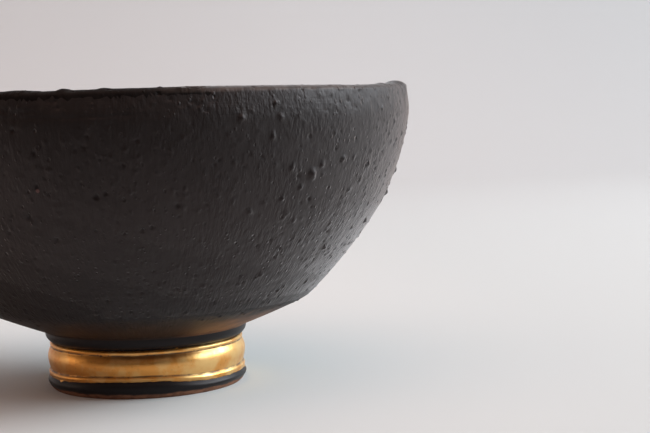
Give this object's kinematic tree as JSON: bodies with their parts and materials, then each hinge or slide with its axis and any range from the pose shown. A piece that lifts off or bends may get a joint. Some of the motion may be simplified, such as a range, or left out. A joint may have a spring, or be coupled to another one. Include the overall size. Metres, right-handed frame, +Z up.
{
  "type": "kintsugi bowl",
  "caption": "Hand-thrown black stoneware bowl, deep and open, on a narrow turned foot with a gilded moulded band and a bare clay edge.",
  "frame": {"origin": "middle of the flat ring under the foot, on the surface that the bowl stands on", "axes": "+Z up along the bowl's axis, X and Y across the rim, -Y towards the picture's viewer"},
  "size_m": [0.1204, 0.12, 0.0653],
  "materials": {
    "black_slip": "matte",
    "gold_leaf": "satin"
  },
  "bodies": {
    "root": {"bowl": "black_slip"}
  },
  "joints": []
}
